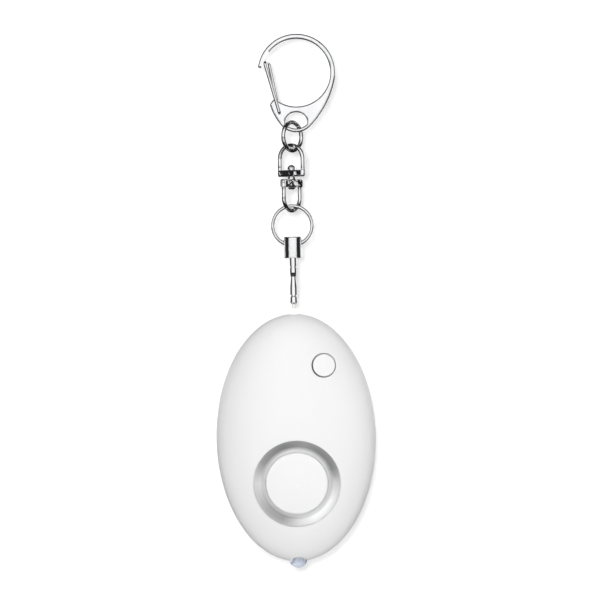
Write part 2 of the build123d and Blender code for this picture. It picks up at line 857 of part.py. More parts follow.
export_step(siren_cover.part, "parts/siren_cover.step")

# Siren holder: a plate under the bezel and the cover, with a wall round the piezo disc
with BuildPart() as siren_holder:
    turned(
        siren_side,
        [
            (holder_bore_radius, bezel_low),
            (bezel_radius, bezel_low),
            (bezel_radius, siren_ledge),
            (bezel_radius - holder_wall, siren_ledge),
            (bezel_radius - holder_wall, holder_low),
            (holder_bore_radius, holder_low),
        ],
    )
siren_holder.part.label = "siren_holder"
export_step(siren_holder.part, "parts/siren_holder.step")

# Gasket, brass disc and ceramic of the siren
with BuildPart() as piezo_gasket:
    with BuildSketch(siren_level(gasket_low)):
        Circle(piezo_radius)
        Circle(piezo_radius - gasket_width, mode=Mode.SUBTRACT)
    extrude(amount=gasket_height)
piezo_gasket.part.label = "piezo_gasket"
export_step(piezo_gasket.part, "parts/piezo_gasket.step")

with BuildPart() as piezo_plate:
    with BuildSketch(siren_level(piezo_low)):
        Circle(piezo_radius)
    extrude(amount=piezo_height)
piezo_plate.part.label = "piezo_plate"
export_step(piezo_plate.part, "parts/piezo_plate.step")

with BuildPart() as piezo_ceramic:
    with BuildSketch(siren_level(ceramic_low)):
        Circle(ceramic_radius)
    extrude(amount=ceramic_height)
piezo_ceramic.part.label = "piezo_ceramic"
export_step(piezo_ceramic.part, "parts/piezo_ceramic.step")

# Two leads from the ceramic to the board's front
with BuildPart() as piezo_leads:
    for lead_side in (1, -1):
        lead_start = siren_level(ceramic_low).from_local_coords((lead_side * lead_spread, 0, 0))
        lead_turn = lead_start - siren_out * lead_run
        lead_end = Vector(lead_turn.X, board_front, lead_turn.Z - lead_shift)
        lead_knee = Vector(lead_end.X, lead_end.Y - lead_run, lead_end.Z)
        with BuildLine() as lead_path:
            FilletPolyline(lead_start, lead_turn, lead_knee, lead_end, radius=lead_bend / 2)
        wire_along(lead_path.wire(), lead_radius)
piezo_leads.part.label = "piezo_leads"
export_step(piezo_leads.part, "parts/piezo_leads.step")

# Torch button: a cap whose face follows the casing, on a flange that keeps it in
with BuildPart() as torch_button:
    with BuildSketch(facing(flange_front)):
        with Locations((button_right, button_rise)):
            Circle(button_radius)
    extrude(amount=case_depth / 2)
    add(outer_egg, mode=Mode.INTERSECT)
    fillet(faces().sort_by(Axis.Y)[0].edges(), button_edge_round)
    with BuildSketch(facing(flange_back)):
        with Locations((button_right, button_rise)):
            Circle(button_radius + button_flange)
    extrude(amount=button_flange_height)
torch_button.part.label = "torch_button"
export_step(torch_button.part, "parts/torch_button.step")

# Switch body on the board's front, and its plunger under the button
with BuildPart() as torch_switch:
    with BuildSketch(facing(board_front)):
        with Locations((button_right, button_rise)):
            RectangleRounded(switch_width, switch_width, plunger_radius / 2)
    extrude(amount=switch_height)
    with BuildSketch(facing(switch_front + switch_bore_depth)):
        with Locations((button_right, button_rise)):
            Circle(plunger_radius + plunger_gap)
    extrude(amount=switch_bore_depth + overrun, mode=Mode.SUBTRACT)
torch_switch.part.label = "torch_switch"
export_step(torch_switch.part, "parts/torch_switch.step")

with BuildPart() as switch_plunger:
    with BuildSketch(facing(switch_front + plunger_overlap)):
        with Locations((button_right, button_rise)):
            Circle(plunger_radius)
    extrude(amount=switch_front + plunger_overlap - flange_back)
switch_plunger.part.label = "switch_plunger"
export_step(switch_plunger.part, "parts/switch_plunger.step")

# Circuit board: the casing's outline, with a window for the cells that a slot for the socket
# runs down into
window_half_height = cell_radius + cradle_gap + cradle_wall + window_margin
with BuildPart() as circuit_board:
    with BuildSketch(facing(board_back)):
        Ellipse(board_half_width, board_half_height)
        with Locations((0, -board_foot)):
            Rectangle(
                2 * board_half_width, board_half_height,
                align=(Align.CENTER, Align.MAX), mode=Mode.SUBTRACT,
            )
        with Locations((0, cell_rise)):
            Rectangle(
                2 * slot_half_width, board_half_height,
                align=(Align.CENTER, Align.MIN), mode=Mode.SUBTRACT,
            )
        with Locations((0, cell_rise)):
            Rectangle(2 * window_half_width, 2 * window_half_height, mode=Mode.SUBTRACT)
        with Locations(screw_places):
            Circle(screw_head_radius)
            Circle(screw_shank_radius + screw_pass_gap, mode=Mode.SUBTRACT)
    extrude(amount=board_height)
circuit_board.part.label = "circuit_board"
export_step(circuit_board.part, "parts/circuit_board.step")

# Control chip with its gull legs, on the board's back
with BuildPart() as control_chip:
    with BuildSketch(facing(board_back + chip_height)):
        with Locations((chip_right, -chip_drop)):
            Rectangle(chip_width, chip_length)
    extrude(amount=chip_height - chip_leg_height / 2)
    with BuildSketch(facing(board_back + chip_leg_height)):
        with Locations((chip_right, -chip_drop)):
            with GridLocations(chip_width, chip_leg_pitch, 1, chip_leg_count):
                Rectangle(chip_width + 2 * chip_leg_reach, chip_leg_width)
    extrude(amount=chip_leg_height)
control_chip.part.label = "control_chip"
export_step(control_chip.part, "parts/control_chip.step")

# Boost coil: a ferrite drum and the copper wound on it
coil_side = Plane(
    origin=(chain_x + coil_right, board_back, case_z - coil_drop), x_dir=(1, 0, 0), z_dir=(0, 0, 1)
)
with BuildPart() as boost_coil:
    turned(
        coil_side,
        [
            (0, 0),
            (coil_flange_radius, 0),
            (coil_flange_radius, coil_flange_height),
            (coil_core_radius, coil_flange_height),
            (coil_core_radius, coil_height - coil_flange_height),
            (coil_flange_radius, coil_height - coil_flange_height),
            (coil_flange_radius, coil_height),
            (0, coil_height),
        ],
    )
boost_coil.part.label = "boost_coil"
export_step(boost_coil.part, "parts/boost_coil.step")

with BuildPart() as coil_winding:
    turned(
        coil_side,
        [
            (coil_core_radius, coil_flange_height),
            (winding_radius, coil_flange_height),
            (winding_radius, coil_height - coil_flange_height),
            (coil_core_radius, coil_height - coil_flange_height),
        ],
    )
coil_winding.part.label = "coil_winding"
export_step(coil_winding.part, "parts/coil_winding.step")

# Button cells, each a can with a smaller cap, side by side from left to right
with BuildPart() as battery_cells:
    for number in range(cell_count):
        cell_left = number * (cell_height + cell_gap) - cell_stack / 2
        cell_side = Plane(
            origin=(chain_x + cell_left, 0, case_z + cell_rise), x_dir=(0, 1, 0), z_dir=(0, 0, -1)
        )
        turned(
            cell_side,
            [
                (0, 0),
                (cell_cap_radius, 0),
                (cell_cap_radius, cell_cap_height),
                (cell_radius - cell_edge_round, cell_cap_height),
                (cell_radius, cell_cap_height + cell_edge_round),
                (cell_radius, cell_height - cell_edge_round),
                (cell_radius - cell_edge_round, cell_height),
                (0, cell_height),
            ],
        )
battery_cells.part.label = "battery_cells"
export_step(battery_cells.part, "parts/battery_cells.step")

# Cradle: a trough round the cells, open at the front and the back, with a wall at each end
cradle_bore = cell_radius + cradle_gap
cradle_radius = cradle_bore + cradle_wall
with BuildPart() as battery_cradle:
    with BuildSketch(across(-end_wall_x)):
        Circle(cradle_radius)
    extrude(amount=2 * end_wall_x)
    with BuildSketch(across(cradle_end_wall - end_wall_x)):
        Circle(cradle_bore)
    extrude(amount=2 * (end_wall_x - cradle_end_wall), mode=Mode.SUBTRACT)
    split(bisect_by=facing(-cradle_lip), keep=Keep.BOTTOM)
    split(bisect_by=facing(cradle_back_share * case_depth), keep=Keep.TOP)
battery_cradle.part.label = "battery_cradle"
export_step(battery_cradle.part, "parts/battery_cradle.step")

# Contact plate on the right end wall, and the spring on the left one
end_wall_face = end_wall_x - cradle_end_wall
with BuildPart() as contact_plate:
    with BuildSketch(across(cell_stack / 2)):
        Circle(contact_plate_width / 2)
    extrude(amount=contact_thickness)
    with BuildSketch(across(cell_stack / 2 + contact_thickness)):
        Rectangle(contact_plate_width / 2, contact_plate_width / 4)
    extrude(amount=plate_stand - contact_thickness)
contact_plate.part.label = "contact_plate"
export_step(contact_plate.part, "parts/contact_plate.step")

spring_pitch = (plate_stand - spring_wire) / spring_turns
with BuildPart() as contact_spring:
    with BuildLine() as spring_path:
        Helix(
            spring_pitch,
            spring_pitch * spring_turns,
            spring_radius,
            center=(chain_x - end_wall_face + spring_wire / 2, 0, case_z + cell_rise),
            direction=(1, 0, 0),
        )
    with BuildSketch(Plane(origin=spring_path.wire() @ 0, z_dir=spring_path.wire() % 0)):
        Circle(spring_wire / 2)
    sweep(path=spring_path.wire(), is_frenet=True)
contact_spring.part.label = "contact_spring"
export_step(contact_spring.part, "parts/contact_spring.step")

# Clear lamp with its dome below the casing, and its two leads against the board's front
with BuildPart() as led_lamp:
    with BuildSketch(chain_side):
        with BuildLine():
            tip = CenterArc((0, case_z - lamp_tip + lamp_radius), lamp_radius, 270, 90)
            Polyline(
                tip @ 1,
                (lamp_radius, case_z - lamp_seat),
                (lamp_flange_radius, case_z - lamp_seat),
                (lamp_flange_radius, case_z - lamp_base),
                (0, case_z - lamp_base),
                tip @ 0,
            )
        make_face()
    revolve(axis=Axis(chain_side.origin, chain_side.y_dir))
led_lamp.part.label = "led_lamp"
export_step(led_lamp.part, "parts/led_lamp.step")

with BuildPart() as led_leads:
    with BuildSketch(level(-lamp_base)):
        for lead_side in (1, -1):
            with Locations((lead_side * lamp_lead_spread, board_front - lamp_lead_radius)):
                Circle(lamp_lead_radius)
    extrude(amount=lamp_lead_length)
led_leads.part.label = "led_leads"
export_step(led_leads.part, "parts/led_leads.step")

# Socket for the pin, closed at its foot, with a slot in its left side for the contact
contact_low = socket_foot + socket_floor + contact_slot_foot
with BuildPart() as pin_socket:
    with BuildSketch(level(socket_foot)):
        Circle(socket_radius)
    extrude(amount=socket_top - socket_foot)
    with BuildSketch(level(socket_foot + socket_floor)):
        Circle(socket_bore_radius)
    extrude(amount=socket_top - socket_foot, mode=Mode.SUBTRACT)
    with BuildSketch(level(contact_low)):
        with Locations((-socket_bore_radius, 0)):
            Rectangle(
                2 * socket_radius, contact_width + 2 * cradle_gap, align=(Align.MAX, Align.CENTER)
            )
    extrude(amount=contact_slot_height, mode=Mode.SUBTRACT)
pin_socket.part.label = "pin_socket"
export_step(pin_socket.part, "parts/pin_socket.step")

# Leaf contact: pressed towards the pin through the slot, its tail on the board's slot edge
leaf_x = slot_half_width - contact_leaf
leaf_tip_x = socket_bore_radius + cradle_gap
with BuildPart() as socket_contact:
    with BuildSketch(facing(contact_width / 2)):
        with BuildLine():
            Polyline(
                (-slot_half_width, contact_low - contact_tail),
                (-slot_half_width, contact_low + contact_slot_height),
                (-leaf_x, contact_low + contact_slot_height),
                (-leaf_tip_x, contact_low + contact_slot_height / 2),
                (-leaf_tip_x - contact_leaf, contact_low + contact_slot_height / 2 - contact_leaf),
                (-leaf_x, contact_low + contact_slot_height - 3 * contact_leaf),
                (-leaf_x, contact_low - contact_tail),
                close=True,
            )
        make_face()
    extrude(amount=contact_width)
socket_contact.part.label = "socket_contact"
export_step(socket_contact.part, "parts/socket_contact.step")

# Screws: pan heads with a cross recess, in from the back
with BuildPart() as case_screws:
    for right, rise in screw_places:
        screw_side = Plane(
            origin=(chain_x + right, screw_seat, case_z + rise), x_dir=(1, 0, 0), z_dir=(0, 0, 1)
        )
        turned(
            screw_side,
            [
                (0, -screw_shank_length),
                (screw_shank_radius, -screw_shank_length),
                (screw_shank_radius, 0),
                (screw_head_radius, 0),
                (screw_head_radius, screw_head_height - screw_head_round),
                (screw_head_radius - screw_head_round, screw_head_height),
                (0, screw_head_height),
            ],
        )
    with BuildSketch(facing(screw_seat + screw_head_height - screw_recess_depth)):
        with Locations(screw_places):
            Rectangle(screw_recess_length, screw_recess_width)
            Rectangle(screw_recess_width, screw_recess_length)
    extrude(amount=-(screw_recess_depth + overrun), mode=Mode.SUBTRACT)
case_screws.part.label = "case_screws"
export_step(case_screws.part, "parts/case_screws.step")
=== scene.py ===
import json
import math

import bmesh
import bpy
from mathutils import Matrix, Vector


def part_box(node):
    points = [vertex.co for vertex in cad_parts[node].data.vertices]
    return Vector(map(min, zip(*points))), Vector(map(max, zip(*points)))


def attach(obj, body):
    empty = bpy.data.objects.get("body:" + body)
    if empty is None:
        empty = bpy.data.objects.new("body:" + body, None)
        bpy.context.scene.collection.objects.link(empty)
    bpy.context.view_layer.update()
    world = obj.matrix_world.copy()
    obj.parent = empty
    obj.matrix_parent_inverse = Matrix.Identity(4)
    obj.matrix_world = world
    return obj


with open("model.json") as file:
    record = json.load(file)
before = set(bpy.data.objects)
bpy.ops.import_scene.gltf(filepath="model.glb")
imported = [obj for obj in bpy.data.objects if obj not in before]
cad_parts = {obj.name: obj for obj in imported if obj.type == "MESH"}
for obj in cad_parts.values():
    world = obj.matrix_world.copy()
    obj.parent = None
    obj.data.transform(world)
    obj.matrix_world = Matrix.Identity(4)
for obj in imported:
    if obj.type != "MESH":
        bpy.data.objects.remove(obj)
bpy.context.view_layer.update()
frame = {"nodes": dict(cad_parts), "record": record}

scene = bpy.context.scene
scene.view_settings.view_transform = "Standard"

# Lengths are in millimetres here and turned to metres where they are used
MM = 0.001

# X of the upright axis that the chain, the pin and the lamp share, a little left of the hook's middle
AXIS_X = -1.7


# Camera: square to the front, from far off, rolled as the photograph is
IMAGE_SIZE = 600
PIXELS_PER_MM = 3.99
HOOK_CENTRE_PIXEL = (296.3, 72.8)
ROLL = math.radians(1.05)
CAMERA_DISTANCE = 1250
SENSOR_WIDTH = 36
CLIP_START = 50
CLIP_END = 20000


def add_camera():
    dx = IMAGE_SIZE / 2 - HOOK_CENTRE_PIXEL[0]
    dy = IMAGE_SIZE / 2 - HOOK_CENTRE_PIXEL[1]
    right = (dx * math.cos(ROLL) - dy * math.sin(ROLL)) / PIXELS_PER_MM
    up = (-dx * math.sin(ROLL) - dy * math.cos(ROLL)) / PIXELS_PER_MM
    data = bpy.data.cameras.new("camera")
    data.sensor_width = SENSOR_WIDTH
    data.lens = SENSOR_WIDTH * CAMERA_DISTANCE / (IMAGE_SIZE / PIXELS_PER_MM)
    data.clip_start = CLIP_START * MM
    data.clip_end = CLIP_END * MM
    camera = bpy.data.objects.new("camera", data)
    camera.location = Vector((right, -CAMERA_DISTANCE, up)) * MM
    camera.rotation_euler = (math.radians(90), ROLL, 0)
    scene.collection.objects.link(camera)
    scene.camera = camera


add_camera()


# Node graphs: a short way to write a material's or the world's nodes
WHITE = (1, 1, 1)


def grey(level):
    return (level, level, level)


def opaque(colour):
    return (*colour, 1)


class Graph:
    def __init__(self, owner):
        owner.use_nodes = True
        self.tree = owner.node_tree
        self.tree.nodes.clear()

    def node(self, kind, inputs=None, **settings):
        made = self.tree.nodes.new(kind)
        for name, value in settings.items():
            setattr(made, name, value)
        for key, value in (inputs or {}).items():
            if isinstance(value, bpy.types.NodeSocket):
                self.tree.links.new(value, made.inputs[key])
            else:
                made.inputs[key].default_value = value
        return made

    def calc(self, operation, a, b=0.0, **settings):
        return self.node("ShaderNodeMath", {0: a, 1: b}, operation=operation, **settings).outputs[0]

    def vector(self, operation, a, b=(0, 0, 0)):
        return self.node("ShaderNodeVectorMath", {0: a, 1: b}, operation=operation).outputs

    def place(self):
        return self.node("ShaderNodeTexCoord").outputs["Object"]

    def split(self, vector):
        return self.node("ShaderNodeSeparateXYZ", {0: vector}).outputs

    def length(self, vector):
        return self.vector("LENGTH", vector)["Value"]

    # Way across the face from an axis that points to the front: right in X and up in Y
    def across_from(self, middle):
        parts = self.split(self.vector("SUBTRACT", self.place(), (middle.x, 0, middle.z))["Vector"])
        return self.node("ShaderNodeCombineXYZ", {0: parts["X"], 1: parts["Z"]}).outputs[0]

    # Runs from low to high while the value runs from start to end
    def fade(self, value, start, end, low=0.0, high=1.0):
        span = {"From Min": start, "From Max": end, "To Min": low, "To Max": high}
        return self.node("ShaderNodeMapRange", {"Value": value, **span}).outputs[0]

    def mix(self, share, a, b, **settings):
        return self.node("ShaderNodeMix", {0: share, 6: a, 7: b}, data_type="RGBA", **settings).outputs[2]

    def ramp(self, value, stops):
        made = self.node("ShaderNodeValToRGB", {"Fac": value})
        elements = made.color_ramp.elements
        while len(elements) < len(stops):
            elements.new(0.5)
        for element, (at, colour) in zip(elements, stops):
            element.position = at
            element.color = opaque(colour)
        return made.outputs["Color"]

    def grey_ramp(self, value, stops):
        return self.ramp(value, [(at, grey(level)) for at, level in stops])

    # Noise with this many patches to the millimetre
    def noise(self, per_mm, detail):
        inputs = {"Vector": self.place(), "Scale": per_mm / MM, "Detail": detail}
        return self.node("ShaderNodeTexNoise", inputs).outputs["Fac"]

    def bump(self, height, strength, depth, **under):
        inputs = {"Height": height, "Strength": strength, "Distance": depth * MM, **under}
        return self.node("ShaderNodeBump", inputs).outputs["Normal"]

    def principled(self, inputs):
        self.output(self.node("ShaderNodeBsdfPrincipled", inputs))

    def output(self, shader, kind="ShaderNodeOutputMaterial"):
        self.node(kind, {"Surface": shader.outputs[0]})


def new_material(name):
    material = bpy.data.materials.new(name)
    return material, Graph(material)


# General surface: a colour and a roughness that drift from patch to patch, and a fine relief.
# patch and grain are how many there are to the millimetre, and depth is the relief's, in millimetres.
CLOUD_LOW, CLOUD_HIGH = 0.3, 0.7
CLOUD_DETAIL = 3.0
GRAIN_DETAIL = 2.0
WAVE_DETAIL = 1.0


def shift(colour, amount):
    return tuple(min(1.0, max(0.0, c * (1 + amount))) for c in colour)


def surface(name, colour, drift=0.04, patch=0.25, rough=(0.3, 0.4), grain=8.0, relief=0.1,
            depth=0.01, **sockets):
    material, g = new_material(name)
    cloud = g.noise(patch, CLOUD_DETAIL)
    tones = [(CLOUD_LOW, shift(colour, -drift)), (CLOUD_HIGH, shift(colour, drift))]
    inputs = {
        "Base Color": g.ramp(cloud, tones),
        "Roughness": g.fade(cloud, CLOUD_LOW, CLOUD_HIGH, *rough),
        "Normal": g.bump(g.noise(grain, GRAIN_DETAIL), relief, depth),
    }
    g.principled({**inputs, **sockets})
    return material


def metal(name, colour, rough, **more):
    return surface(name, colour, rough=rough, **{"Metallic": 1.0, **more})


def centre_of(node):
    low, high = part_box(node)
    return (Vector(low) + Vector(high)) / 2


# Siren ring: satin silver, with painted highlights and painted shade round the siren, so that its tone
# turns with the angle.
# The turn is 0 and 1 at nine o'clock, 0.25 at six, 0.5 at three and 0.75 at twelve.
RING_PAINTED_LIGHT_TONES = [
    (0.0, 0.80), (0.12, 0.48), (0.19, 0.42), (0.25, 0.70), (0.32, 0.94), (0.42, 0.94), (0.5, 0.70),
    (0.56, 0.36), (0.66, 0.36), (0.72, 0.45), (0.80, 0.32), (0.91, 0.42), (1.0, 0.80),
]
# Inner slope: a painted highlight at the disc's edge that turns to painted shade at the valley's foot
RING_INNER_EDGE_PAINTED_LIGHT = (0.74, 0.74, 0.75)
RING_INNER_FOOT_PAINTED_SHADE = (0.56, 0.56, 0.57)
# The painted highlights and painted shade fade into this even grey towards the rim
RING_RIM_TONE = (0.72, 0.72, 0.73)
RING_RIM_SHARE = 0.38
# Radii where the inner slope gives way to the outer, and where the outer gives way to the rim
RING_VALLEY = (8.2, 9.2)
RING_RIM = (9.8, 10.7)
RING_GRAIN = 10.0
RING_RELIEF = 0.1
RING_DEPTH = 0.01
RING_ROUGHNESS = 0.35
# A black tone would be as metallic as this, and a white one isn't metallic at all
RING_LUSTER = 0.6


def satin_ring_with_painted_light(name):
    material, g = new_material(name)
    flat = g.across_from(centre_of("siren_cover"))
    parts = g.split(flat)
    angle = g.calc("ARCTAN2", parts["Y"], parts["X"])
    turn = g.calc("ADD", g.calc("DIVIDE", angle, 2 * math.pi), 0.5)
    reach = g.length(flat)
    out_of_valley = g.fade(reach, RING_VALLEY[0] * MM, RING_VALLEY[1] * MM)
    near_rim = g.fade(reach, RING_RIM[0] * MM, RING_RIM[1] * MM, high=RING_RIM_SHARE)
    # Painted shade down the inner slope towards the valley
    inner = g.ramp(out_of_valley, [(0.0, RING_INNER_EDGE_PAINTED_LIGHT), (1.0, RING_INNER_FOOT_PAINTED_SHADE)])
    # Painted highlights and painted shade by the turn round the siren, over the outer slope
    tone = g.mix(out_of_valley, inner, g.grey_ramp(turn, RING_PAINTED_LIGHT_TONES))
    tone = g.mix(near_rim, tone, opaque(RING_RIM_TONE))
    luster = g.calc("MULTIPLY", g.calc("SUBTRACT", 1.0, tone), RING_LUSTER)
    normal = g.bump(g.noise(RING_GRAIN, GRAIN_DETAIL), RING_RELIEF, RING_DEPTH)
    g.principled({"Base Color": tone, "Roughness": RING_ROUGHNESS, "Metallic": luster, "Normal": normal})
    return material


# Chain: cast and barrel-plated, with pits over slow waves, which are deepest on the swivel's bridges
CAST_TONES = [(CLOUD_LOW, (0.80, 0.80, 0.81)), (CLOUD_HIGH, (0.88, 0.88, 0.89))]
CAST_PATCH = 0.4
CAST_ROUGHNESS = 0.07
WAVES = 0.6
WAVE_DEPTH = 0.05
BRIDGE_WAVE_DEPTH = 0.40
# Heights from the rivet's middle between which the bridges' waves die down to the bows'
BRIDGE_ZONE = (2.0, 3.2)
PITS = 1.8
PIT_RELIEF = 0.7
PIT_DEPTH = 0.035


def cast_chrome(name):
    material, g = new_material(name)
    tone = g.ramp(g.noise(CAST_PATCH, CLOUD_DETAIL), CAST_TONES)
    away = g.calc("ABSOLUTE", g.calc("SUBTRACT", g.split(g.place())["Z"], centre_of("swivel_rivet").z))
    strength = g.fade(away, BRIDGE_ZONE[0] * MM, BRIDGE_ZONE[1] * MM, 1.0, WAVE_DEPTH / BRIDGE_WAVE_DEPTH)
    waves = g.bump(g.noise(WAVES, WAVE_DETAIL), strength, BRIDGE_WAVE_DEPTH)
    pits = g.bump(g.noise(PITS, WAVE_DETAIL), PIT_RELIEF, PIT_DEPTH, Normal=waves)
    g.principled({"Base Color": tone, "Roughness": CAST_ROUGHNESS, "Metallic": 1.0, "Normal": pits})
    return material


# Push button: its rim is painted dark, as painted shade where it falls away into the gap, more so to the
# lower left
BUTTON_TONE = 0.90
GAP_PAINTED_SHADE = 0.06
# The button's hidden flange is wider than its cap by this much all round
BUTTON_FLANGE = 0.6
# Distances in from the cap's edge between which the painted shade on the rim comes in
BUTTON_RIM_SHADE = (0.34, 0.12)
# The painted shade is deepest towards this side, away from the light, and keeps this share of it on the
# lit side
SHADED_SIDE = (-0.9, -0.45)
SHADED_SIDE_RANGE = (-0.5, 0.9)
LIT_SIDE_SHADE_SHARE = 0.25
BUTTON_GRAIN = 6.0
BUTTON_RELIEF = 0.03
BUTTON_DEPTH = 0.01
BUTTON_ROUGHNESS = 0.31


def rimmed_button(name):
    material, g = new_material(name)
    low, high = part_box("torch_button")
    radius = (high[0] - low[0]) / 2 - BUTTON_FLANGE * MM
    flat = g.across_from(centre_of("torch_button"))
    lean = g.vector("DOT_PRODUCT", flat, (SHADED_SIDE[0] / radius, SHADED_SIDE[1] / radius, 0))["Value"]
    side = g.fade(lean, *SHADED_SIDE_RANGE, low=LIT_SIDE_SHADE_SHARE)
    rim = g.fade(g.length(flat), radius - BUTTON_RIM_SHADE[0] * MM, radius - BUTTON_RIM_SHADE[1] * MM)
    # Painted shade: the rim turns dark by its distance in from the edge and by its side
    tone = g.mix(g.calc("MULTIPLY", rim, side), opaque(grey(BUTTON_TONE)), opaque(grey(GAP_PAINTED_SHADE)))
    normal = g.bump(g.noise(BUTTON_GRAIN, GRAIN_DETAIL), BUTTON_RELIEF, BUTTON_DEPTH)
    g.principled({"Base Color": tone, "Roughness": BUTTON_ROUGHNESS, "Normal": normal})
    return material


# Metals that show: polished or turned, with a fine or a coarse relief
CHROME = (0.84, 0.84, 0.85)
POLISHED = (0.05, 0.10)
VISIBLE_METALS = {
    "chrome_cast": dict(colour=(0.83, 0.83, 0.84), rough=(0.06, 0.12), patch=0.4, grain=3.0, relief=0.12,
                        depth=0.02),
    "chrome_ring": dict(colour=CHROME, rough=POLISHED, patch=0.4, grain=3.0, relief=0.15, depth=0.02,
                        Metallic=0.92),
    "chrome_turned": dict(colour=CHROME, rough=POLISHED, patch=0.4, grain=1.8, relief=0.5, depth=0.04),
    "steel_wire": dict(colour=CHROME, rough=POLISHED, grain=4.0, relief=0.15, depth=0.02),
    "steel_rivet": dict(colour=(0.80, 0.80, 0.81), rough=(0.10, 0.2), grain=1.8, relief=0.7, depth=0.08),
    "steel_pin": dict(colour=CHROME, rough=POLISHED, grain=3.0, relief=0.15, depth=0.02),
}

# Metals inside the casing: their colour, and their lowest and highest roughness
INNER_METALS = {
    "piezo_brass": ((0.75, 0.58, 0.25), (0.2, 0.3)),
    "copper_wire": ((0.72, 0.33, 0.16), (0.25, 0.35)),
    "cell_steel": ((0.74, 0.74, 0.75), (0.2, 0.3)),
    "contact_nickel": ((0.72, 0.71, 0.68), (0.25, 0.35)),
    "lead_tin": ((0.70, 0.70, 0.71), (0.25, 0.35)),
    "screw_steel": ((0.62, 0.62, 0.64), (0.25, 0.4)),
}

# The casing and the siren's disc: fine, even moulded plastic
MOULDED = dict(drift=0.006, patch=0.05, grain=6.0, relief=0.03)

# Plastics, ceramic, rubber and the lamp's die, each with what sets it apart
PLASTICS = {
    "casing_white": dict(colour=grey(0.88), rough=(0.30, 0.36), **MOULDED),
    "disc_white": dict(colour=grey(0.90), rough=(0.28, 0.34), **MOULDED),
    "black_plastic": dict(colour=(0.02, 0.02, 0.022), drift=0.2),
    "pale_plastic": dict(colour=(0.86, 0.85, 0.80)),
    "inner_plastic": dict(colour=(0.10, 0.10, 0.11)),
    "foam_rubber": dict(colour=grey(0.05), drift=0.2, rough=(0.8, 0.9)),
    "ceramic_white": dict(colour=(0.85, 0.84, 0.80)),
    "lead_red": dict(colour=(0.55, 0.04, 0.03)),
    "switch_black": dict(colour=grey(0.03), drift=0.2),
    "switch_stem": dict(colour=(0.75, 0.74, 0.70)),
    "board_green": dict(colour=(0.03, 0.22, 0.09), drift=0.15),
    "chip_black": dict(colour=(0.025, 0.025, 0.028), drift=0.2),
    "ferrite_grey": dict(colour=(0.12, 0.12, 0.13)),
    "lamp_glow": dict(colour=(0.80, 0.72, 0.30), drift=0.05),
}

# The lamp's lens is clear, and its cup gathers light, which a faint glow stands for
LENS = {"Transmission Weight": 1.0, "IOR": 1.5}
GLOW = {"Emission Color": (0.75, 0.80, 0.95, 1), "Emission Strength": 0.16}

MATERIALS = {
    "satin_silver": satin_ring_with_painted_light("satin_silver"),
    "chrome_wire": cast_chrome("chrome_wire"),
    "button_white": rimmed_button("button_white"),
    "lamp_clear": surface("lamp_clear", (0.88, 0.92, 1.0), drift=0.01, rough=(0.02, 0.05), relief=0.02,
                          **LENS),
    "lamp_cup": surface("lamp_cup", (0.86, 0.88, 0.94), drift=0.10, patch=1.2, rough=(0.25, 0.45),
                        grain=3.0, relief=0.4, depth=0.04, **GLOW),
}
for name, looks in VISIBLE_METALS.items():
    MATERIALS[name] = metal(name, **looks)
for name, (colour, rough) in INNER_METALS.items():
    MATERIALS[name] = metal(name, colour, rough)
for name, looks in PLASTICS.items():
    MATERIALS[name] = surface(name, **looks)

for part in frame["record"]["subparts"]:
    piece = frame["nodes"][part["node"]]
    for slot in piece.material_slots:
        slot.material = MATERIALS[part["material_slot"]]


# The scene's own small pieces
def finished(name, build, bevel=0.03):
    mesh = bpy.data.meshes.new(name)
    build.to_mesh(mesh)
    build.free()
    made = bpy.data.objects.new(name, mesh)
    scene.collection.objects.link(made)
    for face in mesh.polygons:
        face.use_smooth = True
    edge = made.modifiers.new("edge", "BEVEL")
    edge.width = bevel * MM
    edge.segments = 2
    edge.limit_method = "ANGLE"
    return made


def dressed(piece, material, body):
    piece.data.materials.append(MATERIALS[material])
    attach(piece, body)


# Closed outline of radius and height, turned about the lamp's axis
def turned(name, outline, steps=48):
    build = bmesh.new()
    rings = []
    for radius, height in outline:
        ring = []
        for step in range(steps):
            turn = 2 * math.pi * step / steps
            spot = Vector((AXIS_X + radius * math.cos(turn), radius * math.sin(turn), height))
            ring.append(build.verts.new(spot * MM))
        rings.append(ring)
    for low, high in zip(rings, rings[1:] + rings[:1]):
        for step in range(steps):
            after = (step + 1) % steps
            build.faces.new((low[step], low[after], high[after], high[step]))
    bmesh.ops.recalc_face_normals(build, faces=build.faces)
    return finished(name, build)


# Square post beside the lamp's axis, narrower at its lower end
POST_WIDTH = 0.5
POST_LOW_SHARE = 0.6


def post(name, x, low, high):
    build = bmesh.new()
    bmesh.ops.create_cube(build, size=1.0)
    for vertex in build.verts:
        corner = vertex.co.copy()
        width = POST_WIDTH if corner.z > 0 else POST_WIDTH * POST_LOW_SHARE
        height = (low + high) / 2 + corner.z * (high - low)
        vertex.co = Vector((AXIS_X + x + corner.x * width, corner.y * POST_WIDTH, height)) * MM
    return finished(name, build)


# Inside the clear lamp, which points down: a reflector cup that opens down, the die in it and two posts
LAMP_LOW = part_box("led_lamp")[0][2] / MM
CUP_MOUTH = LAMP_LOW + 1.25
CUP_TOP = CUP_MOUTH + 1.3
CUP_BASE = CUP_TOP - 0.35
CUP_BORE = 0.25
CUP_TOP_RADIUS = 0.75
CUP_MOUTH_RADIUS = 1.35
CUP_LIP_RADIUS = 1.2
CUP_BASE_RADIUS = 0.45
DIE_TOP = CUP_TOP - 0.38
DIE_SHOULDER = CUP_TOP - 0.6
DIE_LOW = CUP_TOP - 0.65
DIE_RADIUS = 0.40
DIE_FACE_RADIUS = 0.36
DIE_BORE = 0.02
POST_X = 1.5
POST_TOP = LAMP_LOW + 7.0
RIGHT_POST_LOW = CUP_MOUTH + 0.1
LEFT_POST_LOW = CUP_TOP - 0.2


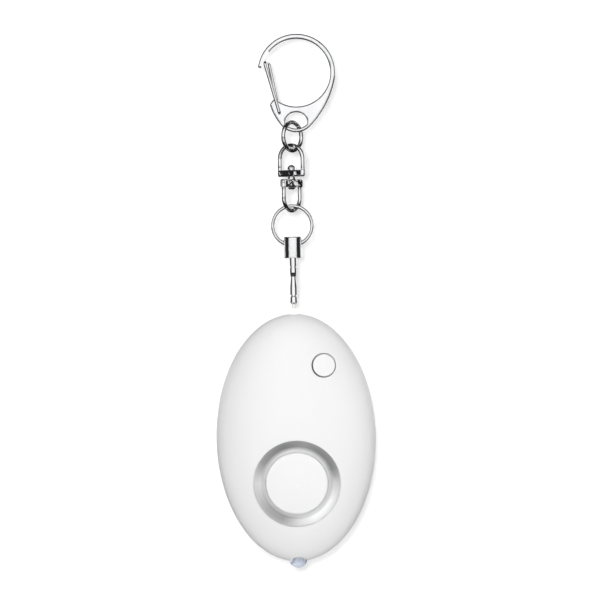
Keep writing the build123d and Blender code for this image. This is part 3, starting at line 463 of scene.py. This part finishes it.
def add_lamp_inside():
    cup = [(CUP_BORE, CUP_TOP), (CUP_TOP_RADIUS, CUP_TOP), (CUP_MOUTH_RADIUS, CUP_MOUTH),
           (CUP_LIP_RADIUS, CUP_MOUTH), (CUP_BASE_RADIUS, CUP_BASE), (CUP_BORE, CUP_BASE)]
    die = [(DIE_BORE, DIE_TOP), (DIE_RADIUS, DIE_TOP), (DIE_FACE_RADIUS, DIE_SHOULDER),
           (DIE_BORE, DIE_LOW)]
    dressed(turned("lamp_cup", cup), "lamp_cup", "casing")
    dressed(turned("lamp_die", die), "lamp_glow", "casing")
    dressed(post("lamp_post_right", POST_X, RIGHT_POST_LOW, POST_TOP), "lead_tin", "casing")
    dressed(post("lamp_post_left", -POST_X, LEFT_POST_LOW, POST_TOP), "lead_tin", "casing")


add_lamp_inside()

# Dark hairline where the jump ring's ends meet: a thin disc across its wire, that stands just proud of it
RING_WIRE_RADIUS = 0.435
SEAM_RADIUS = 0.44
SEAM_WIDTH = 0.05
SEAM_BEVEL = 0.01
SEAM_TURN = math.radians(118)


def ring_seam(name):
    low, high = (Vector(corner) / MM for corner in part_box("jump_ring"))
    reach = (high.x - low.x) / 2 - RING_WIRE_RADIUS
    outward = Vector((math.cos(SEAM_TURN), 0, math.sin(SEAM_TURN)))
    along = Vector((-math.sin(SEAM_TURN), 0, math.cos(SEAM_TURN)))
    build = bmesh.new()
    bmesh.ops.create_cone(build, cap_ends=True, segments=32, radius1=SEAM_RADIUS, radius2=SEAM_RADIUS,
                          depth=SEAM_WIDTH)
    place = Matrix.Translation((low + high) / 2 + outward * reach)
    lay = along.to_track_quat("Z", "Y").to_matrix().to_4x4()
    bmesh.ops.transform(build, matrix=Matrix.Scale(MM, 4) @ place @ lay, verts=build.verts)
    return finished(name, build, SEAM_BEVEL)


dressed(ring_seam("ring_seam"), "ferrite_grey", "ring")


# Stage: a pale floor, and a pale sheet behind the object, which shows only from its front, and only to
# the camera and through the lamp. Metal mirrors the floor dark, except far off to the front and back.
PAPER_PATCH = 0.02
PAPER_TONES = [(CLOUD_LOW, grey(0.78)), (CLOUD_HIGH, grey(0.80))]
MIRRORED_TONE = 0.02
PAPER_GLOW = 0.34
# Distances from the frame's upright axis over which the mirrored floor turns pale
FAR = (160, 280)
# And by direction: the share of the way there that runs to the front or back
AHEAD = (0.58, 0.68)
STAGE_REACH = 3000
BACKDROP_Y = 10
FLOOR_Z = -150


def seen_rays(g):
    path = g.node("ShaderNodeLightPath").outputs
    return path, g.calc("MAXIMUM", path["Is Camera Ray"], path["Is Transmission Ray"])


def stage_material(name, one_sided):
    material, g = new_material(name)
    path, seen = seen_rays(g)
    mirrored = g.calc("SUBTRACT", path["Is Glossy Ray"], path["Is Transmission Ray"], use_clamp=True)
    flat = g.vector("MULTIPLY", g.place(), (1, 1, 0))["Vector"]
    reach = g.length(flat)
    far = g.fade(reach, FAR[0] * MM, FAR[1] * MM)
    ahead = g.fade(g.calc("DIVIDE", g.calc("ABSOLUTE", g.split(flat)["Y"]), reach), *AHEAD)
    dim = g.calc("MULTIPLY", mirrored, g.calc("SUBTRACT", 1.0, g.calc("MULTIPLY", far, ahead)))
    grain = g.ramp(g.noise(PAPER_PATCH, GRAIN_DETAIL), PAPER_TONES)
    paper = g.node("ShaderNodeBsdfDiffuse", {"Color": g.mix(dim, grain, opaque(grey(MIRRORED_TONE)))})
    strength = g.calc("MULTIPLY", seen, PAPER_GLOW)
    glow = g.node("ShaderNodeEmission", {"Color": opaque(WHITE), "Strength": strength})
    shader = g.node("ShaderNodeAddShader", {0: paper.outputs[0], 1: glow.outputs[0]})
    if one_sided:
        back = g.node("ShaderNodeNewGeometry").outputs["Backfacing"]
        shown = g.calc("MULTIPLY", seen, g.calc("SUBTRACT", 1.0, back))
        clear = g.node("ShaderNodeBsdfTransparent")
        shader = g.node("ShaderNodeMixShader", {0: shown, 1: clear.outputs[0], 2: shader.outputs[0]})
    g.output(shader)
    return material


def sheet(name, corners, material):
    mesh = bpy.data.meshes.new(name)
    mesh.from_pydata([Vector(corner) * MM for corner in corners], [], [(0, 1, 2, 3)])
    mesh.materials.append(material)
    made = bpy.data.objects.new(name, mesh)
    scene.collection.objects.link(made)


def add_stage():
    left, right = -STAGE_REACH, STAGE_REACH
    sheet("backdrop", [(left, BACKDROP_Y, FLOOR_Z), (right, BACKDROP_Y, FLOOR_Z),
                       (right, BACKDROP_Y, STAGE_REACH), (left, BACKDROP_Y, STAGE_REACH)],
          stage_material("backdrop", one_sided=True))
    sheet("floor", [(left, -STAGE_REACH, FLOOR_Z), (right, -STAGE_REACH, FLOOR_Z),
                    (right, STAGE_REACH, FLOOR_Z), (left, STAGE_REACH, FLOOR_Z)],
          stage_material("floor", one_sided=False))


add_stage()

# World: white to the camera, an even grey to dull surfaces, and a studio to shiny ones.
# The studio's light goes by the direction, from 0 straight behind the object to 1 straight ahead of it.
STUDIO = [(0.0, 0.90), (0.07, 0.70), (0.11, 0.04), (0.75, 0.02), (0.795, 0.05), (0.86, 1.0), (1.0, 1.15)]
# Pale paper behind the object adds light, by how far back and how near the level the direction runs
PAPER_BEHIND = [(0.22, 0.0), (0.38, 0.8)]
PAPER_LEVEL = [(0.25, 1.0), (0.5, 0.0)]
AMBIENT = 0.16


def add_world():
    world = bpy.data.worlds.new("studio")
    scene.world = world
    g = Graph(world)
    parts = g.split(g.node("ShaderNodeTexCoord").outputs["Generated"])
    front = g.calc("ADD", g.calc("MULTIPLY", parts["Y"], -0.5), 0.5)
    behind = g.grey_ramp(parts["Y"], PAPER_BEHIND)
    near_level = g.grey_ramp(g.calc("ABSOLUTE", parts["Z"]), PAPER_LEVEL)
    studio = g.mix(near_level, g.grey_ramp(front, STUDIO), behind, blend_type="ADD")
    path, seen = seen_rays(g)
    lit = g.mix(path["Is Diffuse Ray"], studio, opaque(grey(AMBIENT)))
    colour = g.mix(seen, lit, opaque(WHITE))
    g.output(g.node("ShaderNodeBackground", {"Color": colour, "Strength": 1.0}), "ShaderNodeOutputWorld")


add_world()

# Lamps: where each is, how wide it is, and the level that it gives a white surface that faces it
LAMPS = {
    "key": ((-80, -1000, 40), 150, 0.47),
    "top": ((-100, -750, 700), 500, 0.28),
    "fill": ((900, -500, 100), 500, 0.10),
    "back_key": ((300, 1000, 300), 500, 0.7),
}
AIM = (0, 0, -60)


def add_lamp(name, spot, size, level):
    place = Vector(spot) * MM
    away = Vector(AIM) * MM - place
    data = bpy.data.lights.new(name, "AREA")
    data.shape = "SQUARE"
    data.size = size * MM
    data.energy = level * math.pi ** 2 * away.length_squared
    made = bpy.data.objects.new(name, data)
    made.location = place
    made.rotation_euler = away.to_track_quat("-Z", "Y").to_euler()
    made.visible_glossy = False
    scene.collection.objects.link(made)


for name, (spot, size, level) in LAMPS.items():
    add_lamp(name, spot, size, level)
